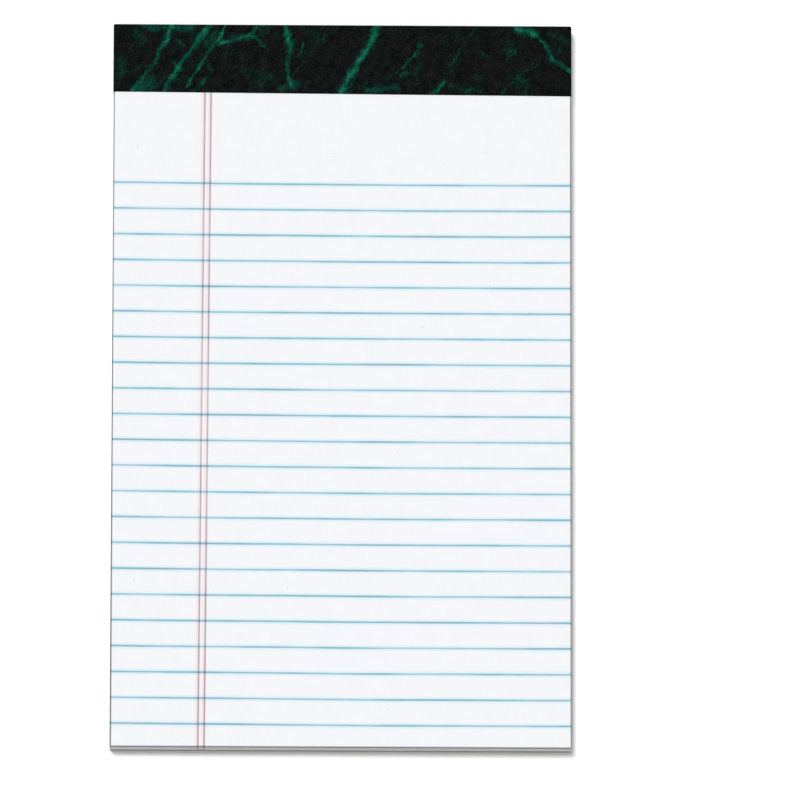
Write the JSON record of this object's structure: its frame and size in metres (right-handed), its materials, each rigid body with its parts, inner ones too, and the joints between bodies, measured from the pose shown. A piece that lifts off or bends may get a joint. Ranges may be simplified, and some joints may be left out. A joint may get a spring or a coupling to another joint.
{
  "type": "lined notepad",
  "caption": "Top-bound lined writing pad: a block of ruled sheets with a margin line on a heavy board back, wire stitched and covered at the head by a folded marbled binding tape.",
  "frame": {"origin": "middle of the pad's outline, on the surface that the pad lies on", "axes": "+X to the right of the written face, +Y towards the bound head, +Z out of the written face"},
  "size_m": [0.1272, 0.2034, 0.0068],
  "materials": {
    "paper": "smooth uncoated white writing paper, blue ruled with a red double margin line",
    "chipboard": "plain grey-brown chipboard with recycled fibre flecks",
    "marbled_tape": "satin coated binding paper, near-black green with green marbled veins",
    "stitching_wire": "bright galvanised stitching wire"
  },
  "bodies": {
    "root": {"sheets": "paper", "back_board": "chipboard", "binding_tape": "marbled_tape", "wire_stitches": "stitching_wire"}
  },
  "joints": []
}
